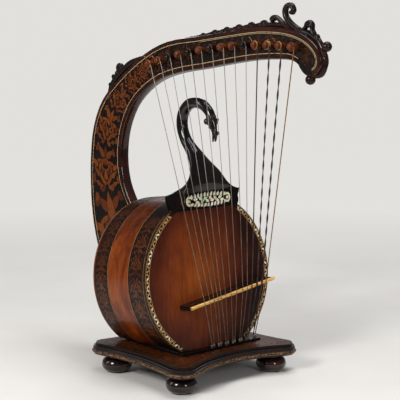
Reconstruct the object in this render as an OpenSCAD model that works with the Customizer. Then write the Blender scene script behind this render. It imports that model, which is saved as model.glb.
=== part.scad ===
// Tabletop bow harp: a round drum body on a footed plinth, a curved inlaid neck
// with turning pegs, a carved animal neck and a fan of strings over a bridge.
// Millimetres, +Z up, strings at -Y, bow in the plane X = 0.

/* [Overall] */
// Part to draw
// Y of the middle of the soundboard face
face_y = -22.5; // [-60:0.5:20]
// Height of the middle of the drum
drum_z = 164; // [140:1:190]
// Backward lean of the drum, degrees
lean_deg = 6; // [0:0.5:12]

/* [Plinth] */
// Half width of the plinth to the outside of its corner lobes
plinth_half_x = 130; // [120:1:136]
// Front of the lobes, from the soundboard
plinth_front = -82; // [-95:1:-70]
// Back of the lobes, from the soundboard
plinth_back = 156; // [145:1:165]
// Corner lobe radius
lobe_r = 24; // [18:1:32]
// Inward sweep of the front edge
front_dip = 26; // [10:1:32]
// Inward sweep of the other edges
side_dip = 10; // [4:1:20]
// Height of the bun feet
foot_h = 28; // [26:0.5:30]
// Radius of the bun feet
foot_r = 25; // [18:0.5:30]
// Top of the plinth moulding
moulding_top = 44; // [40:0.5:47]
// Top of the plinth panel
plinth_top = 48.5; // [46:0.5:50]
// Top of the seat under the drum
seat_top = 52; // [50:0.5:60]
// Half width of the seat
seat_half_x = 76; // [74:1:90]

/* [Drum] */
// Radius at the soundboard
drum_r = 132; // [115:1:145]
// Radius at the back
back_r = 128; // [110:1:145]
// Depth of the drum
drum_d = 140; // [110:1:160]
// Soundboard thickness
board_t = 3.5; // [2.5:0.25:5]
// Rib wall thickness
rib_t = 3.5; // [2.5:0.25:6]
// Thickness of the veneer bands round the rib
band_t = 1; // [0.6:0.1:2]
// Back edge of the front veneer band
band_front_to = 45; // [30:1:60]
// Front edge of the rear veneer band
band_rear_from = 100; // [85:1:115]
// Width of the purfling ring
purfling_w = 7; // [4:0.5:10]

/* [Bridge] */
// Distance of the saddle from the soundboard
bridge_h = 26; // [18:1:34]
// Slant of the bridge, degrees
bridge_tilt = 7.6; // [4:0.2:12]
// Saddle radius
saddle_r = 2.8; // [1.5:0.1:2.9]

/* [Neck] */
// Thickness of the neck with its veneers
neck_t = 18; // [14:0.5:26]
// Veneer thickness
veneer_t = 1; // [0.6:0.1:2]
// Points per span of the neck outline
neck_steps = 3; // [2:1:5]

/* [Pegs] */
// Number of pegs and strings
peg_count = 14; // [14:1:14]
// Y of the rearmost peg, from the soundboard
peg_first_y = 128; // [120:1:134]
// Spacing of the pegs along the neck
peg_pitch = 25.3; // [25:0.1:25.6]
// Peg shaft radius
peg_r = 4.5; // [4:0.1:5]
// Running clearance round the shaft
peg_clear = 0.05; // [0.02:0.01:0.08]
// Length of the peg in front of the neck face
peg_out = 18; // [16:0.5:20]
// Radius of the string turns on the peg
wind_r = 5.8; // [5.2:0.1:6.2]

/* [Strings] */
// Distance of the strings' upper ends from the middle plane
string_x = -20.5; // [-21.5:0.5:-19.5]

/* [Hidden] */
$fn = 64;
half_t = neck_t / 2;
foot_x = plinth_half_x - 33;
foot_y0 = -45;
foot_y1 = 119;
saddle_x = [-38, -27, -18, -10, -3, 7, 19, 31, 45, 55, 65, 76, 87, 97];
hitch_x0 = -12;
hitch_step = 7.6;
shoulder_x = [-55, -41, -31];
shoulder_z = [308.5, 316.5, 328];
bend_k = 1.2;
string_r = [0.6, 0.5, 0.5, 0.5, 0.6, 0.5, 0.5, 0.6, 0.5, 0.5, 0.9, 1.3, 1.4, 1];
dark = "#1d1512";
ebony = "#15100f";
brown = "#4a2413";
amber = "#7a3a18";
veneer = "#5f3017";
bone = "#d9b56d";
pearl = "#dcdcc4";
steel = "#8c8984";
gut = "#b9a98c";

// Neck outline, outer edge from the heel over the top to the nose.
outer_pts = [[120, 84], [190, 90], [245, 122], [279, 164], [297, 215], [304, 270],
    [304, 330], [294, 388], [266, 437], [212, 481], [150, 517.5], [90, 538.5], [20, 547],
    [-60, 557], [-120, 563], [-170, 562], [-205, 555.5], [-229.5, 544], [-244.5, 529],
    [-248.5, 513], [-241.5, 500.5], [-230, 496], [-218, 498.5]];
// Neck outline, inner edge from the nose back to the heel.
inner_pts = [[-210, 507], [-197, 515.5], [-176, 519], [-120, 517], [-60, 509.5],
    [0, 500], [60, 491.5], [112, 478.5], [155, 457], [190, 427], [213, 385], [220, 340],
    [213, 298], [192, 262], [165, 228], [120, 196]];

function cr(a, b, c, d, t) = 0.5 * (2 * b + (c - a) * t
    + (2 * a - 5 * b + 4 * c - d) * t * t + (3 * b - a - 3 * c + d) * t * t * t);
function spline(p, n) = concat([for (i = [0:len(p) - 2]) for (k = [0:n - 1])
    cr(p[max(i - 1, 0)], p[i], p[i + 1], p[min(i + 2, len(p) - 1)], k / n)],
    [p[len(p) - 1]]);
function peg_y(i) = peg_first_y - peg_pitch * i;
function peg_z(i) = 537.5 - 0.00046 * pow(peg_y(i) + 150, 2);
// A point of the leaning drum frame in the upright frame.
function up(p) = [p[0], p[1] * cos(lean_deg) + p[2] * sin(lean_deg),
    drum_z - p[1] * sin(lean_deg) + p[2] * cos(lean_deg)];
function saddle_z(x) = -33.6 + x * tan(bridge_tilt);
function string_top(i) = [string_x - string_r[i], peg_y(i) - wind_r - 0.5 - string_r[i],
    peg_z(i) - 1];
function string_saddle(i) = up([saddle_x[i], -bridge_h - saddle_r - bend_k * string_r[i] - 0.03,
    saddle_z(saddle_x[i])]);
function hitch_x(i) = hitch_x0 + hitch_step * i;
function hitch_y(i) = -21 + 3.5 * (i % 2);
function string_low(i) = [hitch_x(i), hitch_y(i) - 0.1, seat_top + 5 + 1.2 * string_r[i]];

module place() { translate([0, face_y, 0]) children(); }
module lean() { place() translate([0, 0, drum_z]) rotate([-lean_deg, 0, 0]) children(); }
// Children drawn with z as the drum axis, from the soundboard towards the back.
module drum() { lean() rotate([-90, 0, 0]) children(); }
// Children drawn in the Y-Z plane and thickened along X.
module side(x0, x1) {
    place() translate([x0, 0, 0]) rotate([90, 0, 90]) linear_extrude(x1 - x0) children();
}
module rod(a, b, r, f = 24) {
    d = b - a;
    l = norm(d);
    translate(a) rotate([0, acos(d[2] / l), atan2(d[1], d[0])]) cylinder(r = r, h = l, $fn = f);
}
module ball(p, r, f = 24) { translate(p) sphere(r = r, $fn = f); }

// ---- plinth ----
function dip_r(half, dip) = (half * half + dip * dip - 2 * lobe_r * dip) / (2 * dip);
module plinth_shape(e = 0) {
    hx = plinth_half_x - lobe_r;
    y0 = plinth_front + lobe_r;
    y1 = plinth_back - lobe_r;
    hy = (y1 - y0) / 2;
    my = (y0 + y1) / 2;
    rf = dip_r(hx, front_dip);
    rb = dip_r(hx, side_dip);
    rs = dip_r(hy, side_dip);
    tf = lobe_r / (rf + lobe_r);
    tb = lobe_r / (rb + lobe_r);
    ts = lobe_r / (rs + lobe_r);
    cf = y0 - lobe_r + front_dip - rf;
    cb = y1 + lobe_r - side_dip + rb;
    cs = hx + lobe_r - side_dip + rs;
    difference() {
        polygon([[-hx * (1 - tf), y0 + (cf - y0) * tf], [hx * (1 - tf), y0 + (cf - y0) * tf],
            [hx, y0], [hx + (cs - hx) * ts, y0 + hy * ts], [hx + (cs - hx) * ts, y1 - hy * ts],
            [hx, y1], [hx * (1 - tb), y1 + (cb - y1) * tb],
            [-hx * (1 - tb), y1 + (cb - y1) * tb], [-hx, y1],
            [-hx - (cs - hx) * ts, y1 - hy * ts], [-hx - (cs - hx) * ts, y0 + hy * ts],
            [-hx, y0]]);
        translate([0, cf]) circle(r = rf + e, $fn = 120);
        translate([0, cb]) circle(r = rb + e, $fn = 240);
        translate([cs, my]) circle(r = rs + e, $fn = 240);
        translate([-cs, my]) circle(r = rs + e, $fn = 240);
    }
    for (sx = [-1, 1]) {
        translate([sx * hx, y0]) circle(r = lobe_r - e, $fn = 64);
        translate([sx * hx, y1]) circle(r = lobe_r - e, $fn = 64);
    }
}
module plinth_board() {
    color(dark) place() translate([0, 0, foot_h])
        linear_extrude(moulding_top - foot_h) plinth_shape(9);
}
module plinth_moulding() {
    color(brown) place() difference() {
        union() {
            translate([0, 0, foot_h + 2.5]) linear_extrude(3) plinth_shape(1.5);
            translate([0, 0, foot_h + 5.5]) linear_extrude(7.5) plinth_shape(0);
            translate([0, 0, foot_h + 13]) linear_extrude(3) plinth_shape(1.5);
        }
        translate([0, 0, foot_h + 2]) linear_extrude(20) plinth_shape(9);
    }
}
module plinth_top_panel() {
    color(veneer) place() translate([0, 0, moulding_top])
        linear_extrude(plinth_top - moulding_top) plinth_shape(5);
}
module foot(sx, y) {
    color(dark) place() translate([sx * foot_x, y, 0]) rotate_extrude($fn = 64)
        difference() {
            union() {
                translate([0, 4]) square([foot_r - 10, foot_h - 4]);
                translate([foot_r - 12, 13]) circle(r = 12);
                translate([0, 1]) square([foot_r - 12, 24]);
                square([foot_r - 9, 4]);
            }
            translate([-30, -10]) square([30, 60]);
            translate([-1, 10]) square([4.5, 30]);
            translate([0, -5]) square([60, 5]);
        }
}
module foot_front_left() { foot(-1, foot_y0); }
module foot_front_right() { foot(1, foot_y0); }
module foot_back_left() { foot(-1, foot_y1); }
module foot_back_right() { foot(1, foot_y1); }
module foot_dowels() {
    color(amber) place() for (sx = [-1, 1]) for (y = [foot_y0, foot_y1])
        translate([sx * foot_x, y, 10]) cylinder(r = 3.5, h = foot_h - 10, $fn = 32);
}
module drum_seat() {
    color(ebony) place() difference() {
        translate([-seat_half_x, -11, plinth_top])
            cube([2 * seat_half_x, drum_d - 8, seat_top - plinth_top]);
        for (sx = [-1, 1]) translate([sx * (seat_half_x + 1), -40, seat_top + 1])
            rotate([-90, 0, 0]) cylinder(r = 4, h = 200);
    }
}
module hitch_rail() {
    color(ebony) place() difference() {
        translate([-seat_half_x, -25, plinth_top])
            cube([seat_half_x + 92, 14, seat_top - plinth_top]);
        for (i = [0:peg_count - 1]) translate([hitch_x(i), hitch_y(i), plinth_top])
            cylinder(r = 1, h = 8, $fn = 24);
    }
}
module hitch_pins() {
    color(steel) place() for (i = [0:peg_count - 1])
        translate([hitch_x(i), hitch_y(i), 0]) {
            translate([0, 0, plinth_top]) cylinder(r = 1, h = seat_top - plinth_top + 3, $fn = 24);
            translate([0, 0, seat_top + 3]) sphere(r = 1.7, $fn = 24);
        }
}

// ---- drum ----
module base_cut() { place() translate([-200, -200, -50]) cube([400, 600, seat_top + 50]); }
module cone_shell(z0, z1, outset, wall) {
    k = (drum_r - back_r) / drum_d;
    difference() {
        translate([0, 0, z0]) cylinder(r1 = drum_r - k * z0 + outset,
            r2 = drum_r - k * z1 + outset, h = z1 - z0, $fn = 128);
        translate([0, 0, z0 - 1]) cylinder(r1 = drum_r - k * (z0 - 1) + outset - wall,
            r2 = drum_r - k * (z1 + 1) + outset - wall, h = z1 - z0 + 2, $fn = 128);
    }
}
module block_body() {
    lean() intersection() {
        translate([0, 31, 0]) rotate([90, 0, 0]) linear_extrude(33) polygon(
            concat([[-66, 110], [70, 110]], spline([[72, 112], [74, 118], [73, 125],
            [76, 132], [77, 137]], 3), spline([[-77, 137], [-81, 133.5],
            [-80, 129], [-75, 123], [-70, 117], [-67, 111]], 3)));
        translate([0, -84, 100]) cylinder(r = 116, h = 60, $fn = 160);
    }
}
module figure_block() { color(ebony) block_body(); }
module rib_core() {
    color(amber) difference() {
        drum() cone_shell(board_t, drum_d - board_t, -band_t, rib_t);
        base_cut();
        block_body();
    }
}
module band(z0, z1) {
    difference() {
        drum() cone_shell(z0, z1, 0, band_t);
        base_cut();
        block_body();
    }
}
module rib_band_front() { color(veneer) band(board_t, band_front_to); }
module rib_band_centre() { color(amber) band(band_front_to, band_rear_from); }
module rib_band_rear() { color(veneer) band(band_rear_from, drum_d - board_t); }
module soundboard() {
    color(brown) difference() {
        drum() cylinder(r = drum_r, h = board_t, $fn = 128);
        drum() purfling_ring(0);
        base_cut();
        block_body();
    }
}
module purfling_ring(e) {
    difference() {
        translate([0, 0, -e]) cylinder(r = drum_r - 1, h = 1.2 + e, $fn = 128);
        translate([0, 0, -1 - e]) cylinder(r = drum_r - 1 - purfling_w, h = 4, $fn = 128);
    }
}
module soundboard_purfling() {
    color(bone) difference() {
        drum() purfling_ring(0);
        base_cut();
        block_body();
    }
}
module back_board() {
    color(brown) difference() {
        drum() translate([0, 0, drum_d - board_t]) cylinder(r = back_r, h = board_t, $fn = 128);
        drum() for (y = [-30, 12]) translate([0, y, 100]) cylinder(r = 3, h = 60, $fn = 32);
        base_cut();
    }
}
module linings() {
    color(amber) difference() {
        drum() for (z = [board_t, drum_d - board_t - 8]) difference() {
            translate([0, 0, z]) cylinder(r = 123.2 + (z < 20 ? 3.6 : 0), h = 8, $fn = 128);
            translate([0, 0, z - 1]) cylinder(r = 117 + (z < 20 ? 3.6 : 0), h = 10, $fn = 128);
        }
        base_cut();
        block_body();
    }
}
module soundboard_braces() {
    color(amber) difference() {
        lean() for (z = [-70, 0, 60]) translate([-90, board_t, z]) cube([180, 9, 7]);
        base_cut();
        block_body();
    }
}
module heel_block() {
    color(amber) difference() {
        lean() translate([-26, drum_d - board_t - 40, -44]) cube([52, 40, 88]);
        drum() for (y = [-30, 12]) translate([0, y, 90]) cylinder(r = 3, h = 60, $fn = 32);
    }
}
module bridge_frame() {
    lean() translate([0, 0, saddle_z(0)]) rotate([0, -bridge_tilt, 0]) children();
}
module bridge_bar() {
    color(ebony) bridge_frame() difference() {
        translate([26, 0, 0]) rotate([90, 0, 0]) linear_extrude(bridge_h) polygon(
            [[-92, -3], [-90, -4], [88, -4], [90, -3], [90, 3], [88, 4], [-90, 4], [-92, 3]]);
        translate([-80, -bridge_h, 0]) rotate([0, 90, 0]) cylinder(r = saddle_r, h = 220);
        for (sz = [-1, 1]) translate([-80, -bridge_h - 1, sz * 7]) rotate([sz * 2.2, 0, 0])
            translate([0, 0, -4]) cube([220, 31, 8]);
    }
}
module bridge_saddle() {
    color(bone) bridge_frame() translate([-65, -bridge_h, 0]) rotate([0, 90, 0])
        cylinder(r = saddle_r, h = 186, $fn = 32);
}

// ---- carved animal neck ----
// Stations: y, z in the leaning frame, half width, front and back depth, pinch, middle x.
neck_st = [[-0.5, 137, 75, 0.6, 26, 3, 0], [-1, 140.5, 63, 1, 26, 3, 2],
    [-2, 146, 51, 2, 25, 2.8, 5], [-2.5, 153, 42, 3, 24, 2.5, 6.5],
    [-2, 162, 35, 4, 21, 2.1, 7], [0.5, 172, 28.5, 6, 18, 1.6, 6],
    [6, 183, 21, 9, 14, 1.2, 3.5], [13.5, 195.5, 14.7, 10.5, 11.5, 1, 1],
    [23.5, 208.5, 10.8, 10, 10, 1, 0], [34, 222.5, 9.6, 9.4, 9.4, 1, 0],
    [40.5, 243, 9.3, 9.3, 9.3, 1, 0], [36.5, 263, 9.3, 9.3, 9.3, 1, 0],
    [22, 277, 9.2, 9.2, 9.2, 1, 0], [3, 280.5, 8.9, 8.9, 8.9, 1, 0],
    [-14, 275.5, 8.4, 8.4, 8.4, 1, 0], [-26.5, 265, 7.8, 7.8, 7.8, 1, 0],
    [-31.5, 256, 7.4, 7.4, 7.4, 1, 0]];
ring_n = 28;
function st_dir(s, i) = let (a = s[max(i - 1, 0)], b = s[min(i + 1, len(s) - 1)],
    d = [b[0] - a[0], b[1] - a[1]]) i == 0 ? [0, 1] : d / norm(d);
function ring(s, i) = [for (k = [0:ring_n - 1])
    let (t = 360 * k / ring_n, c = cos(t), w = sin(t), q = s[i], d = st_dir(s, i),
        x = q[6] + q[2] * sign(c) * pow(abs(c), q[5]), v = w > 0 ? q[4] * w : q[3] * w)
    [x, q[0] + v * d[1], q[1] - v * d[0]]];
module loft(s) {
    m = len(s);
    polyhedron([for (i = [0:m - 1]) for (p = ring(s, i)) p],
        concat([[for (k = [0:ring_n - 1]) k]],
        [for (i = [0:m - 2]) for (k = [0:ring_n - 1]) let (j = (k + 1) % ring_n)
            [i * ring_n + k, (i + 1) * ring_n + k, (i + 1) * ring_n + j]],
        [for (i = [0:m - 2]) for (k = [0:ring_n - 1]) let (j = (k + 1) % ring_n)
            [i * ring_n + k, (i + 1) * ring_n + j, i * ring_n + j]],
        [[for (k = [ring_n - 1:-1:0]) (m - 1) * ring_n + k]]));
}
module swan_neck() { color(ebony) lean() loft(spline(neck_st, 2)); }
module swan_head() {
    color(ebony) lean() difference() {
        union() {
            hull() {
                translate([0, -32, 249]) scale([1, 1, 1.1]) sphere(r = 8.6, $fn = 28);
                translate([0, -38, 233]) sphere(r = 5, $fn = 20);
            }
            translate([0, -38.5, 229]) sphere(r = 5.4, $fn = 24);
            for (sx = [-1, 1]) {
                translate([sx * 6.8, -31, 247]) sphere(r = 4, $fn = 20);
                translate([sx * 6, -35, 256]) sphere(r = 2.6, $fn = 16);
            }
            translate([0, -37.5, 217]) cylinder(r1 = 1.6, r2 = 3.4, h = 10, $fn = 20);
            translate([0, -32, 216]) cylinder(r1 = 1.5, r2 = 3.2, h = 14, $fn = 20);
        }
        loft(spline(neck_st, 2));
    }
}
module pearl_panel() {
    color(pearl) lean() translate([8, -2, 124]) rotate([90, 0, 0]) {
        for (k = [0:23]) translate([46 * cos(15 * k), 10.2 * sin(15 * k), 0])
            rotate([0, 0, atan2(3 * sin(15 * k), cos(15 * k))])
            linear_extrude(0.6) polygon([[-2.6, 0], [-1, 1.8], [1.6, 1.8], [3, 0],
            [1.6, -1.8], [-1, -1.8]]);
        for (x = [-26, -9, 9, 26]) translate([x, 0, 0]) linear_extrude(0.6)
            polygon([[-6, 0], [-2, 3.6], [3, 3], [6, 0], [2, -3.6], [-3, -3]]);
    }
}

// ---- bow neck ----
module neck_outline() { polygon(concat(spline(outer_pts, neck_steps), spline(inner_pts, neck_steps))); }
module back_cut() { lean() translate([-200, -400, -400]) cube([400, 400 + drum_d, 500]); }
module bore(i, r) {
    place() translate([-60, peg_y(i), peg_z(i)]) rotate([0, 90, 0]) cylinder(r = r, h = 120, $fn = 48);
}
module peg_bores() { for (i = [0:peg_count - 1]) bore(i, peg_r + peg_clear); }
module neck_slab(x0, x1) {
    difference() {
        side(x0, x1) neck_outline();
        back_cut();
        peg_bores();
    }
}
module bow_neck() {
    color(brown) difference() {
        neck_slab(-half_t + veneer_t, half_t - veneer_t);
        drum() for (y = [-30, 12]) translate([0, y, 100]) cylinder(r = 3, h = 66, $fn = 32);
    }
}
module neck_veneer_left() { color(veneer) neck_slab(-half_t, -half_t + veneer_t); }
module neck_veneer_right() { color(veneer) neck_slab(half_t - veneer_t, half_t); }
module neck_bolts() {
    color(steel) drum() for (y = [-30, 12]) translate([0, y, 92]) {
        cylinder(r = 3, h = 73, $fn = 32);
    }
}

// ---- crests and finials ----
function stroke_side(p, k) = [for (i = [0:len(p) - 1])
    let (a = p[max(i - 1, 0)], b = p[min(i + 1, len(p) - 1)], d = [b[0] - a[0], b[1] - a[1]])
    [p[i][0] - k * p[i][2] * d[1] / norm(d), p[i][1] + k * p[i][2] * d[0] / norm(d)]];
function reversed(p) = [for (i = [len(p) - 1:-1:0]) p[i]];
// A stroke of changing half width along y, z, width points.
module stroke(p) {
    polygon(concat(stroke_side(p, 1), reversed(stroke_side(p, -1))));
}
function crest_z(y) = 548.8 - 0.1643 * y - 0.000357 * y * y;
module crest_shape() {
    difference() {
        union() {
            polygon(concat(spline([[112, 531], [90, 539], [60, 545], [20, 550.5], [-30, 559.5],
                [-80, 567], [-130, 572], [-172, 571.5], [-204, 562.5], [-222, 558],
                [-239, 548], [-250.5, 528], [-253.5, 510], [-247.5, 497], [-238, 491.5],
                [-226, 491.5], [-213, 495.5], [-203, 503.5], [-197, 511]], 4),
                spline([[-200, 517], [-212, 510], [-236, 505], [-240, 513], [-234, 530],
                [-218, 543], [-196, 550], [-160, 556], [-80, 553], [-30, 546], [20, 540],
                [60, 533], [112, 521]], 3)));
            for (k = [0:8]) translate([96 - 27.5 * k, crest_z(96 - 27.5 * k)])
                circle(r = 5.5 + 0.75 * k, $fn = 40);
            for (p = [[-233, 550], [-247, 532]]) translate(p) circle(r = 5.5, $fn = 32);
        }
        neck_outline();
    }
}
module crest_front() {
    color(ebony) difference() {
        side(-5, 5) crest_shape();
        finial_balls();
    }
}
module crest_rear() {
    color(ebony) side(-5, 5) difference() {
        union() {
            polygon(concat(spline([[264, 440], [263, 454], [254, 466], [248, 477], [238, 483],
                [226, 488], [212, 497], [192, 508], [168, 515]], 3),
                [[160, 505], [200, 482], [240, 452]]));
            translate([230, 491]) circle(r = 10, $fn = 48);
        }
        neck_outline();
    }
}
module scroll_finial() {
    color(ebony) side(-5.5, 5.5) difference() {
        union() {
            stroke(spline([[-214, 552, 5], [-196, 560, 5], [-182, 568, 4.8], [-171, 578, 4.6],
                [-168.3, 588, 4.4], [-173, 595.4, 4.2], [-181, 595.6, 4], [-185.3, 589.5, 3.6]], 3));
            translate([-182.6, 587]) circle(r = 4.6, $fn = 40);
            stroke(spline([[-206, 552, 3.6], [-190, 557, 3.8], [-174, 563.5, 3.6],
                [-162, 571, 3.4], [-152, 577.7, 3.2], [-144.5, 579.5, 3]], 3));
            translate([-143.4, 576]) circle(r = 6, $fn = 40);
            stroke([[-176, 567, 5], [-192, 565, 5], [-206, 563.5, 5], [-218, 563, 4.5]]);
            translate([-218, 567]) circle(r = 7.8, $fn = 48);
        }
        neck_outline();
        crest_shape();
    }
}
module finial_balls() {
    place() difference() {
        for (p = [[-252.5, 537], [-221, 488.8]]) ball([0, p[0], p[1]], 7.6, 40);
        rotate([90, 0, 90]) translate([0, 0, -9]) linear_extrude(18) neck_outline();
    }
}
module ball_finials() { color(ebony) finial_balls(); }

// ---- strings ----
module run(i, pts) {
    color(i < 10 ? gut : (i == 13 ? amber : dark)) place() {
        for (k = [0:len(pts) - 2]) let (a = pts[k], b = pts[k + 1], u = (b - a) / norm(b - a))
            rod(a + (k > 0 ? 0.4 : 0) * string_r[i] * u,
            b - (k < len(pts) - 2 ? 0.4 : 0) * string_r[i] * u, string_r[i]);
        for (k = [1:len(pts) - 2]) ball(pts[k], bend_k * string_r[i]);
    }
}
function path_of(i) = i < 3
    ? [string_top(i), [shoulder_x[i], 9.3 - string_r[i], shoulder_z[i]], string_saddle(i), string_low(i)]
    : [string_top(i), string_saddle(i), string_low(i)];
module strings_gut() { for (i = [0:9]) run(i, path_of(i)); }
module string_bass_1() { run(10, path_of(10)); }
module string_bass_2() { run(11, path_of(11)); }
module string_bass_3() { run(12, path_of(12)); }
module string_bass_4() { run(13, path_of(13)); }

// ---- pegs ----
module peg(i) {
    color(brown) place() translate([0, peg_y(i), peg_z(i)]) rotate([0, 90, 0]) {
        translate([0, 0, -half_t - peg_out + 2]) cylinder(r = peg_r, h = neck_t + peg_out + 4, $fn = 48);
        translate([0, 0, -half_t - peg_out + 2]) scale([1, 1, 0.5]) sphere(r = peg_r, $fn = 32);
        for (k = [0:3]) translate([0, 0, -half_t - 14 + 2.6 * k])
            cylinder(r = wind_r, h = 1.8, $fn = 40);
        translate([0, 0, half_t + 6]) cylinder(r1 = peg_r, r2 = 6, h = 4, $fn = 48);
        translate([-8, -3, half_t + 10]) cube([16, 6, 14]);
    }
}
module peg_01() { peg(0); }
module peg_02() { peg(1); }
module peg_03() { peg(2); }
module peg_04() { peg(3); }
module peg_05() { peg(4); }
module peg_06() { peg(5); }
module peg_07() { peg(6); }
module peg_08() { peg(7); }
module peg_09() { peg(8); }
module peg_10() { peg(9); }
module peg_11() { peg(10); }
module peg_12() { peg(11); }
module peg_13() { peg(12); }
module peg_14() { peg(13); }

plinth_board();
plinth_moulding();
plinth_top_panel();
foot_front_left();
foot_front_right();
foot_back_left();
foot_back_right();
foot_dowels();
drum_seat();
hitch_rail();
hitch_pins();
rib_core();
rib_band_front();
rib_band_centre();
rib_band_rear();
soundboard();
back_board();
soundboard_purfling();
linings();
soundboard_braces();
heel_block();
bridge_bar();
bridge_saddle();
figure_block();
pearl_panel();
swan_neck();
swan_head();
bow_neck();
neck_veneer_left();
neck_veneer_right();
crest_front();
crest_rear();
scroll_finial();
ball_finials();
neck_bolts();
strings_gut();
string_bass_1();
string_bass_2();
string_bass_3();
string_bass_4();
peg_01();
peg_02();
peg_03();
peg_04();
peg_05();
peg_06();
peg_07();
peg_08();
peg_09();
peg_10();
peg_11();
peg_12();
peg_13();
peg_14();
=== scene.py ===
"""Looks for the bow harp: procedural finishes, inlay, carving, strings and studio."""

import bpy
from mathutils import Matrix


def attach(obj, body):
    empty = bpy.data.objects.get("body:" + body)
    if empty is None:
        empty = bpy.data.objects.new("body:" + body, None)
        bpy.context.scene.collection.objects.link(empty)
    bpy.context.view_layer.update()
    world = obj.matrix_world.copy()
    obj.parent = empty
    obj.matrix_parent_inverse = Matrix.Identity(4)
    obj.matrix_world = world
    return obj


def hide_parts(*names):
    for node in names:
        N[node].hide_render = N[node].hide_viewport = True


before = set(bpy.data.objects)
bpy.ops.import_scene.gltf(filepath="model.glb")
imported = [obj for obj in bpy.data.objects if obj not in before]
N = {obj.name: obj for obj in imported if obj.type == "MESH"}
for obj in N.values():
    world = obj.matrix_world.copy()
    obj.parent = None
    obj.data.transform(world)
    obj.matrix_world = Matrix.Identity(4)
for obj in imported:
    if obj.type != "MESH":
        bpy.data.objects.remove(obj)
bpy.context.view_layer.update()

import math
import random

import bpy
from mathutils import Matrix, Vector

rng = random.Random(7)
PI = math.pi
FY, ZC = -22.5, 164.0  # the soundboard's middle, y and z in mm
LEAN = math.radians(6)  # the drum, bridge and animal lean back by this
FACE_X = 9.12  # the inlay's plane, just outside the bow's side
EDGE_W = 8.2  # what the border and line take along each edge of the bow
A_TOP, A_LOW = 0.66, 2.5  # where the drum's bands meet the block and the seat, in radians from the top
ARC_R = 131  # radius that turns an arc on the drum's side into an angle
PANEL_TOP, SEAT_TOP = 48.5, 52.0
SIDES = ((1, "left"), (-1, "right"))
COAT_SHARE = 0.3  # share of each material's coat that is used


def place(x, y, z):
    """From millimetres behind the soundboard's middle to the frame's."""
    return (x, y + FY, z)


def lean(x, y, z):
    """From the leaning drum's own axes, 0 at the soundboard's middle, to the frame's."""
    return (x, y * math.cos(LEAN) + z * math.sin(LEAN) + FY, ZC - y * math.sin(LEAN) + z * math.cos(LEAN))


# ---------------------------------------------------------------- materials
class Net:
    """A small helper round one material's nodes."""

    def __init__(self, name):
        self.mat = bpy.data.materials.new(name)
        self.mat.use_nodes = True
        self.nt = self.mat.node_tree
        self.bsdf = self.nt.nodes["Principled BSDF"]
        self.pos = self.add("ShaderNodeTexCoord").outputs["Object"]

    def add(self, kind, **values):
        n = self.nt.nodes.new(kind)
        for k, v in values.items():
            setattr(n, k, v)
        return n

    def put(self, socket, value):
        if isinstance(value, bpy.types.NodeSocket):
            self.nt.links.new(value, socket)
        else:
            socket.default_value = value

    def stretch(self, scale):
        m = self.add("ShaderNodeMapping")
        self.put(m.inputs["Vector"], self.pos)
        m.inputs["Scale"].default_value = scale
        return m.outputs["Vector"]

    def xyz(self):
        n = self.add("ShaderNodeSeparateXYZ")
        self.put(n.inputs[0], self.pos)
        return n.outputs

    def noise(self, scale, detail=4, vec=None, rough=0.55, distort=0.0):
        n = self.add("ShaderNodeTexNoise")
        self.put(n.inputs["Vector"], vec or self.pos)
        n.inputs["Scale"].default_value = scale
        n.inputs["Detail"].default_value = detail
        n.inputs["Roughness"].default_value = rough
        n.inputs["Distortion"].default_value = distort
        return n.outputs["Fac"]

    def ramp(self, fac, *stops):
        n = self.add("ShaderNodeValToRGB")
        self.put(n.inputs["Fac"], fac)
        el = n.color_ramp.elements
        while len(el) < len(stops):
            el.new(0.5)
        for e, (p, c) in zip(el, stops):
            e.position = p
            e.color = (*c, 1) if len(c) == 3 else c
        return n.outputs["Color"]

    def math(self, op, a, b=0.0, clamp=False):
        n = self.add("ShaderNodeMath", operation=op, use_clamp=clamp)
        self.put(n.inputs[0], a)
        self.put(n.inputs[1], b)
        return n.outputs[0]

    def mix(self, fac, a, b, mode="MIX"):
        n = self.add("ShaderNodeMix", data_type="RGBA", blend_type=mode)
        self.put(n.inputs["Factor"], fac)
        self.put(n.inputs[6], (*a, 1) if isinstance(a, tuple) else a)
        self.put(n.inputs[7], (*b, 1) if isinstance(b, tuple) else b)
        return n.outputs[2]

    def bump(self, height, strength=0.2, dist=0.0003):
        n = self.add("ShaderNodeBump")
        self.put(n.inputs["Height"], height)
        n.inputs["Strength"].default_value = strength
        n.inputs["Distance"].default_value = dist
        self.put(self.bsdf.inputs["Normal"], n.outputs["Normal"])

    def out(self, color=None, rough=None, coat=0.0, metal=0.0, coat_rough=0.08, spec=0.12):
        b = self.bsdf.inputs
        if color is not None:
            self.put(b["Base Color"], (*color, 1) if isinstance(color, tuple) else color)
        if rough is not None:
            self.put(b["Roughness"], rough)
        b["Coat Weight"].default_value = COAT_SHARE * coat
        b["Coat Roughness"].default_value = coat_rough
        b["Metallic"].default_value = metal
        b["Specular IOR Level"].default_value = spec
        return self.mat


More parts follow.
